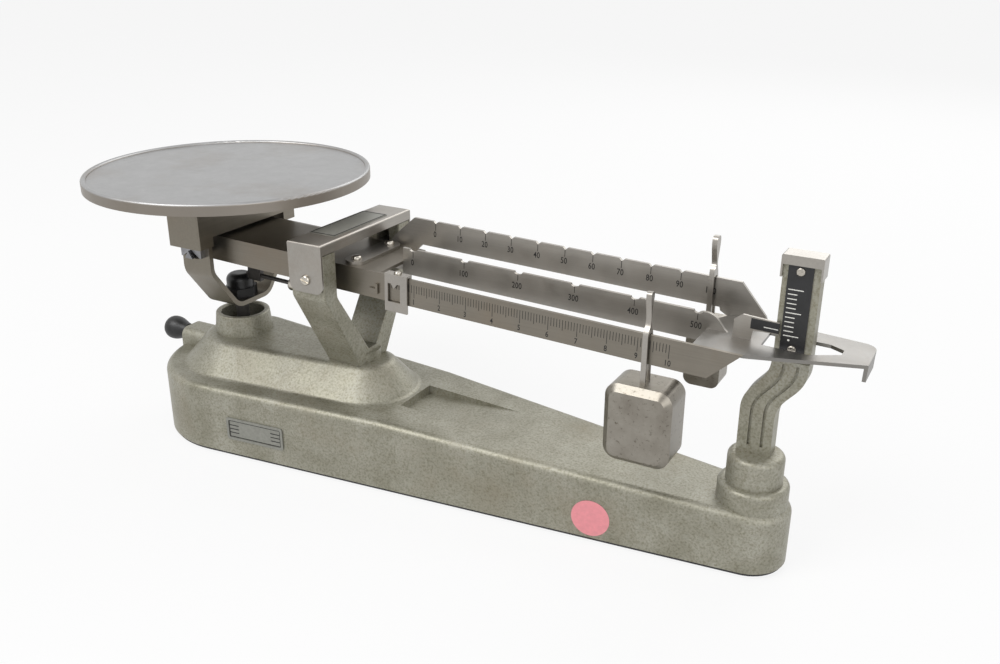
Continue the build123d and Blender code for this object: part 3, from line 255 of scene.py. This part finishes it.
BLACK_ENAMEL = plain_material("black_enamel", (0.012, 0.012, 0.013), 0.38, vary=0.4)
BLACK_KNOB = plain_material("knob_plastic", (0.012, 0.012, 0.012), 0.42, vary=0.5)
RUBBER = plain_material("foot_rubber", (0.02, 0.02, 0.02), 0.75)
FOIL = plain_material("foil_plate", (0.27, 0.27, 0.24), 0.42, metallic=0.6, vary=0.12, scale=500)
INK = plain_material("black_ink", (0.012, 0.011, 0.010), 0.6, vary=0.5, scale=700)
WHITE_INK = plain_material("white_ink", (0.75, 0.74, 0.70), 0.6, vary=0.1, scale=700)
PINK_PAPER = plain_material("pink_paper", (0.80, 0.30, 0.33), 0.8, vary=0.06, scale=500)

# Nodes that aren't named here are nickel
FINISHES = {
    "base": CASTING, "stem_collar": CASTING, "fork": CASTING, "pointer_post": CASTING,
    "bottom_plate": BLACK_ENAMEL, "foot_left_front": RUBBER, "foot_left_rear": RUBBER, "foot_right": RUBBER,
    "name_frame": FOIL, "label_plate": FOIL,
    "beam_channel": CHANNEL, "rear_blade": BLADE, "middle_blade": BLADE, "tip_plate": TIP,
    "pointer_tab": BLADE, "rider": SHEET, "bridge_cover": SHEET, "fulcrum_plate": SHEET,
    "pan_support": CARRIER, "yoke": CARRIER, "large_bail": CLIP, "rear_bail": CLIP, "post_cap": CLIP,
    "pan": PAN_TOP, "large_poise": PLATED, "rear_poise": PLATED,
    "pointer_plate": BLACK_ENAMEL, "scale_plate": BLACK_ENAMEL, "stem_nut": BLACK_ENAMEL,
    "knob": BLACK_KNOB,
    "fulcrum_knife": HARDENED, "pan_knife": HARDENED, "link_pin": HARDENED, "stem_pin": HARDENED,
    "fulcrum_bearing_front": HARDENED, "fulcrum_bearing_rear": HARDENED,
    "pan_bearing_front": HARDENED, "pan_bearing_rear": HARDENED,
    "link_bracket": DULL_STEEL, "check_link": DULL_STEEL, "adjust_hanger": DULL_STEEL,
    "adjust_rod": DULL_STEEL, "stem": DULL_STEEL, "knob_shaft": DULL_STEEL,
}
for name, node in frame["nodes"].items():
    node.data.materials.clear()
    node.data.materials.append(FINISHES.get(name, NICKEL))


# Marks laid on a surface
def mesh_object(name, mesh_source, material):
    """Makes an object of a bmesh and gives it its material"""
    mesh = bpy.data.meshes.new(name)
    mesh_source.to_mesh(mesh)
    mesh_source.free()
    mesh.materials.append(material)
    thing = bpy.data.objects.new(name, mesh)
    bpy.context.scene.collection.objects.link(thing)
    return thing


def mesh_piece(name, mesh_source, material, body):
    """Makes an object of a bmesh and lets it ride on a body"""
    piece = mesh_object(name, mesh_source, material)
    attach(piece, body)
    return piece


def surface(origin, right, up):
    """Matrix of a flat surface: x to the right, y up, z outwards"""
    right = Vector(right).normalized()
    up = Vector(up).normalized()
    matrix = Matrix((right, up, right.cross(up))).transposed().to_4x4()
    matrix.translation = Vector(origin)
    return matrix


def add_bar(target, matrix, x, y, width, height, lift=LIFT):
    """A flat bar centred at x and y on a surface"""
    left, right = x - width / 2, x + width / 2
    low, high = y - height / 2, y + height / 2
    places = ((left, low), (right, low), (right, high), (left, high))
    target.faces.new([target.verts.new(matrix @ Vector((px, py, lift))) for px, py in places])


def add_disc(target, matrix, x, y, radius, lift=LIFT, steps=40):
    """A flat disc on a surface"""
    ring = []
    for i in range(steps):
        angle = 2 * math.pi * i / steps
        place = Vector((x + radius * math.cos(angle), y + radius * math.sin(angle), lift))
        ring.append(target.verts.new(matrix @ place))
    target.faces.new(ring)


def add_frame(target, matrix, width, height, line, lift=LIFT):
    """Four bars round a rectangle"""
    for way in (-1, 1):
        add_bar(target, matrix, 0, way * (height - line) / 2, width, line, lift)
        add_bar(target, matrix, way * (width - line) / 2, 0, line, height - 2 * line, lift)


# Shape of the built-in plain typeface: its figures' height, and how they are set here
FIGURE_HEIGHT = 0.70
FIGURE_NARROW = 0.78
FIGURE_SPACE = 1.08
FIGURE_BOLD = 0.022


def add_number(target, matrix, text, x, y, height):
    """A number centred at x and y, from the built-in plain typeface"""
    curve = bpy.data.curves.new("number", "FONT")
    curve.body = text
    curve.align_x = "CENTER"
    curve.align_y = "CENTER"
    curve.size = height / FIGURE_HEIGHT
    curve.space_character = FIGURE_SPACE
    curve.offset = FIGURE_BOLD * height
    holder = bpy.data.objects.new("number", curve)
    bpy.context.scene.collection.objects.link(holder)
    bpy.context.view_layer.update()
    mesh = bpy.data.meshes.new_from_object(holder)
    shape = Matrix.Diagonal((FIGURE_NARROW, 1, 1, 1))
    mesh.transform(matrix @ Matrix.Translation((x, y, LIFT)) @ shape)
    target.from_mesh(mesh)
    bpy.data.meshes.remove(mesh)
    bpy.data.objects.remove(holder)
    bpy.data.curves.remove(curve)


# Scales on the three blades: x from the fulcrum, y from the line of the knife edges
ZERO = 38.0 * MM
WEB_RISE = 6.0 * MM
FRONT_FACE = -corners("rear_blade")[1].y
MIDDLE_FACE = corners("middle_blade")[0].y
REAR_FACE = corners("rear_blade")[0].y
FRONT_TOP = WEB_RISE
MIDDLE_TOP = WEB_RISE + 7.2 * MM
REAR_TOP = WEB_RISE + 16.4 * MM
FRONT_GRAM = 14.47 * MM
MIDDLE_STEP = 149.2 * MM / 5
REAR_STEP = 147.9 * MM / 10

TICK_W = 0.28 * MM
FRONT_TICKS_TOP = FRONT_TOP - 2.4 * MM
TENTH_TICK = 4.1 * MM
HALF_TICK = 5.2 * MM
GRAM_TICK = 6.5 * MM
FRONT_NUMBERS_Y = FRONT_TOP - 11.2 * MM
FRONT_NUMBERS_SHIFT = 0.3 * MM
FRONT_NUMBER_H = 2.7 * MM
NOTCH_TICK_W = TICK_W * 1.2
NOTCH_NUMBERS_SHIFT = 0.4 * MM
NOTCH_NUMBER_H = 3.0 * MM


def blade_surface(face):
    """Front face of a blade, x along the beam and y above the line of the knife edges"""
    return surface((PIVOT.x, face, PIVOT.z), ALONG, UP)


def notch_scale(name, face, count, step, unit, tick_y, tick, number_y):
    """A tick and a number at each notch of a blade"""
    marks = bmesh.new()
    wall = blade_surface(face)
    for i in range(count):
        place = ZERO + i * step
        add_bar(marks, wall, place, tick_y, NOTCH_TICK_W, tick)
        add_number(marks, wall, str(unit * i), place - NOTCH_NUMBERS_SHIFT, number_y, NOTCH_NUMBER_H)
    mesh_piece(name, marks, INK, "beam")


front_marks = bmesh.new()
front = blade_surface(FRONT_FACE)
for i in range(101):
    length = GRAM_TICK if i % 10 == 0 else HALF_TICK if i % 5 == 0 else TENTH_TICK
    add_bar(front_marks, front, ZERO + i * FRONT_GRAM / 10, FRONT_TICKS_TOP - length / 2, TICK_W, length)
for gram in range(1, 11):
    place = ZERO + gram * FRONT_GRAM - FRONT_NUMBERS_SHIFT
    add_number(front_marks, front, str(gram), place, FRONT_NUMBERS_Y, FRONT_NUMBER_H)
mesh_piece("front_scale_marks", front_marks, INK, "beam")
notch_scale(
    "middle_scale_marks", MIDDLE_FACE, 6, MIDDLE_STEP, 100,
    MIDDLE_TOP - 2.7 * MM, 3.2 * MM, MIDDLE_TOP - 7.0 * MM,
)
notch_scale(
    "rear_scale_marks", REAR_FACE, 11, REAR_STEP, 10,
    REAR_TOP - 2.9 * MM, 3.6 * MM, REAR_TOP - 6.9 * MM,
)

# Tip plate with its end lip cut to the length that the real one has
LIP_DEPTH = 6.0 * MM
SHEET_T = 1.6 * MM
WELD = 0.001 * MM
tip_mesh = bmesh.new()
tip_mesh.from_mesh(frame["nodes"]["tip_plate"].data)
bmesh.ops.remove_doubles(tip_mesh, verts=tip_mesh.verts, dist=WELD)
whole = tip_mesh.verts[:] + tip_mesh.edges[:] + tip_mesh.faces[:]
lip_end = PIVOT + UP * (WEB_RISE - SHEET_T - LIP_DEPTH)
cut = bmesh.ops.bisect_plane(tip_mesh, geom=whole, plane_co=lip_end, plane_no=UP, clear_inner=True)
rim = [part for part in cut["geom_cut"] if isinstance(part, bmesh.types.BMEdge)]
bmesh.ops.holes_fill(tip_mesh, edges=rim)
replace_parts(mesh_piece("tip_plate_short_lip", tip_mesh, TIP, "beam"), "tip_plate")

# Upright scale by the pointer: x from the plate's left edge, z above the floor
SCALE_PITCH = 2.06 * MM
SCALE_ZERO_Z = 124.6 * MM
SCALE_MARGIN = 0.9 * MM
SCALE_LINE = 0.42 * MM
LONG_MARK = 6.4 * MM
SHORT_MARK = 4.0 * MM
DOT_PLACE = (3.4 * MM, 112.4 * MM)
DOT_R = 0.45 * MM
plate_low = corners("scale_plate")[0]
scale = surface((plate_low.x, plate_low.y, 0), X_AXIS, Z_AXIS)
scale_marks = bmesh.new()
for i in range(-5, 6):
    width = LONG_MARK if i % 5 == 0 else SHORT_MARK
    add_bar(scale_marks, scale, SCALE_MARGIN + width / 2, SCALE_ZERO_Z + i * SCALE_PITCH, width, SCALE_LINE)
add_disc(scale_marks, scale, *DOT_PLACE, DOT_R)
mesh_piece("upright_scale_marks", scale_marks, WHITE_INK, "stand")

# White line on the pointer
POINTER_LINE = 0.4 * MM
POINTER_DROP = 0.3 * MM
tab_low, tab_high = corners("pointer_plate")
tab_width = tab_high.x - tab_low.x
pointer = surface((tab_low.x, tab_low.y, (tab_low.z + tab_high.z) / 2), ALONG, UP)
pointer_line = bmesh.new()
add_bar(pointer_line, pointer, tab_width * 0.72, -POINTER_DROP, tab_width * 0.5, POINTER_LINE)
mesh_piece("pointer_line", pointer_line, WHITE_INK, "beam")

# Dark border of the label on the bridge cover
LABEL_MARGIN = 0.8 * MM
LABEL_LINE = 0.9 * MM
label_low, label_high = corners("label_plate")
label_mid = (label_low + label_high) / 2
label_size = label_high - label_low
label = surface((label_mid.x, label_mid.y, label_high.z), X_AXIS, Y_AXIS)
label_border = bmesh.new()
add_frame(label_border, label, label_size.x - LABEL_MARGIN, label_size.y - LABEL_MARGIN, LABEL_LINE)
mesh_piece("label_border", label_border, INK, "stand")

# Name frame: three lines at each side and a thin border
NAME_WIDTH = 36 * MM
NAME_HEIGHT = 13 * MM
NAME_THICK = 0.8 * MM
NAME_MARGIN = 3.2 * MM
NAME_BORDER = 0.4 * MM
SIDE_LINE = (6.0 * MM, 0.55 * MM)
SIDE_LINE_X = 13.2 * MM
SIDE_LINE_PITCH = 2.2 * MM
frame_low, frame_high = corners("name_frame")
wall_along = Vector((frame_high.x - frame_low.x, frame_high.y - frame_low.y - NAME_THICK, 0))
name_face = surface((frame_low + frame_high) / 2, wall_along, Z_AXIS)
name_lines = bmesh.new()
for way in (-1, 1):
    for row in (-1, 0, 1):
        add_bar(name_lines, name_face, way * SIDE_LINE_X, row * SIDE_LINE_PITCH, *SIDE_LINE, FRAME_LIFT)
add_frame(name_lines, name_face, NAME_WIDTH - NAME_MARGIN, NAME_HEIGHT - NAME_MARGIN, NAME_BORDER, FRAME_LIFT)
mesh_piece("name_frame_lines", name_lines, INK, "stand")

# Round paper sticker on the tapered front wall between the casting's two round ends
LEFT_R = corners("base")[1].y
LEFT_X = PIVOT.x - 76.9 * MM
RIGHT_X = PIVOT.x + 219.5 * MM
RIGHT_R = 18.2 * MM
SLOPE_SIN = (LEFT_R - RIGHT_R) / (RIGHT_X - LEFT_X)
SLOPE_COS = math.sqrt(1 - SLOPE_SIN**2)
STICKER_X = PIVOT.x + 151 * MM
STICKER_Z = 13.6 * MM
STICKER_R = 9.5 * MM
wall_reach = (LEFT_R - (STICKER_X - LEFT_X) * SLOPE_SIN) / SLOPE_COS
front_wall = surface((STICKER_X, -wall_reach, STICKER_Z), (SLOPE_COS, SLOPE_SIN, 0), Z_AXIS)
sticker = bmesh.new()
add_disc(sticker, front_wall, 0, 0, STICKER_R, PAPER_LIFT, 64)
mesh_piece("price_sticker", sticker, PINK_PAPER, "stand")


# Floor, light and camera
def seen_by(tree, *rays):
    """1 for the named kinds of ray and 0 for all others"""
    path = tree.nodes.new("ShaderNodeLightPath")
    either = path.outputs[rays[0]]
    for ray in rays[1:]:
        node = tree.nodes.new("ShaderNodeMath")
        node.operation = "MAXIMUM"
        tree.links.new(either, node.inputs[0])
        tree.links.new(path.outputs[ray], node.inputs[1])
        either = node.outputs[0]
    return either


def floor_material():
    """Pale floor that keeps the shadow and is nearly white to the camera"""
    material = bpy.data.materials.new("floor_white")
    material.use_nodes = True
    tree = material.node_tree
    shader = tree.nodes["Principled BSDF"]
    shader.inputs["Base Color"].default_value = (0.86, 0.86, 0.86, 1)
    shader.inputs["Roughness"].default_value = 0.9
    glow = tree.nodes.new("ShaderNodeEmission")
    glow.inputs["Color"].default_value = (*WHITE, 1)
    share = tree.nodes.new("ShaderNodeMath")
    share.operation = "MULTIPLY"
    share.inputs[1].default_value = FLOOR_GLOW
    tree.links.new(seen_by(tree, "Is Camera Ray", "Is Glossy Ray"), share.inputs[0])
    blend = tree.nodes.new("ShaderNodeMixShader")
    tree.links.new(share.outputs[0], blend.inputs["Fac"])
    tree.links.new(shader.outputs[0], blend.inputs[1])
    tree.links.new(glow.outputs[0], blend.inputs[2])
    tree.links.new(blend.outputs[0], tree.nodes["Material Output"].inputs["Surface"])
    return material


FLOOR = 30.0
FLOOR_GLOW = 0.86
floor_mesh = bmesh.new()
floor_corners = ((-FLOOR, -FLOOR, 0), (FLOOR, -FLOOR, 0), (FLOOR, FLOOR, 0), (-FLOOR, FLOOR, 0))
floor_mesh.faces.new([floor_mesh.verts.new(corner) for corner in floor_corners])
floor = mesh_object("floor", floor_mesh, floor_material())

# World: white to the camera, in metal and through glass, and a plain light on the object
WORLD_LIGHT = 0.42
world = bpy.data.worlds.new("studio")
bpy.context.scene.world = world
world.use_nodes = True
world_tree = world.node_tree
background = world_tree.nodes["Background"]
background.inputs["Color"].default_value = (*WHITE, 1)
strength = world_tree.nodes.new("ShaderNodeMapRange")
strength.inputs["To Min"].default_value = WORLD_LIGHT
strength.inputs["To Max"].default_value = 1.0
seen = seen_by(world_tree, "Is Camera Ray", "Is Transmission Ray", "Is Glossy Ray")
world_tree.links.new(seen, strength.inputs["Value"])
world_tree.links.new(strength.outputs["Result"], background.inputs["Strength"])


def soft_light(name, place, size, power):
    """Square area lamp aimed at the middle of the balance"""
    lamp = bpy.data.lights.new(name, "AREA")
    lamp.size = size
    lamp.energy = power
    holder = bpy.data.objects.new(name, lamp)
    holder.location = place
    direction = Vector(LAMP_TARGET) - Vector(place)
    holder.rotation_euler = direction.to_track_quat("-Z", "Y").to_euler()
    bpy.context.scene.collection.objects.link(holder)


LAMP_TARGET = (0, 0, 0.08)
soft_light("key", (-0.5, -0.9, 1.3), 0.9, 14)
soft_light("fill", (1.2, -0.7, 0.7), 1.0, 5)
soft_light("back", (0.2, 1.1, 0.9), 1.0, 6)

# Camera at the photograph's viewing angle: place in metres from the fulcrum's foot, lens in millimetres
CAMERA_PLACE = Vector((PIVOT.x, 0, 0)) + Vector((0.3105, -0.4053, 0.2765))
CAMERA_AZIMUTH = math.radians(28.77)
CAMERA_ELEVATION = math.radians(22.27)
CAMERA_ROLL = math.radians(0.30)
CAMERA_LENS = 36.41
SENSOR_WIDTH = 36

right = Vector((math.cos(CAMERA_AZIMUTH), math.sin(CAMERA_AZIMUTH), 0))
forward = Vector((
    -math.sin(CAMERA_AZIMUTH) * math.cos(CAMERA_ELEVATION),
    math.cos(CAMERA_AZIMUTH) * math.cos(CAMERA_ELEVATION),
    -math.sin(CAMERA_ELEVATION),
))
level = right.cross(forward)
rolled_right = right * math.cos(CAMERA_ROLL) + level * math.sin(CAMERA_ROLL)
rolled_up = level * math.cos(CAMERA_ROLL) - right * math.sin(CAMERA_ROLL)
camera_data = bpy.data.cameras.new("camera")
camera_data.lens = CAMERA_LENS
camera_data.sensor_width = SENSOR_WIDTH
camera_data.clip_start = 0.01
camera = bpy.data.objects.new("camera", camera_data)
turn = Matrix((rolled_right, rolled_up, -forward)).transposed().to_4x4()
camera.matrix_world = Matrix.Translation(CAMERA_PLACE) @ turn
bpy.context.scene.collection.objects.link(camera)
bpy.context.scene.camera = camera
bpy.context.scene.view_settings.view_transform = "Standard"
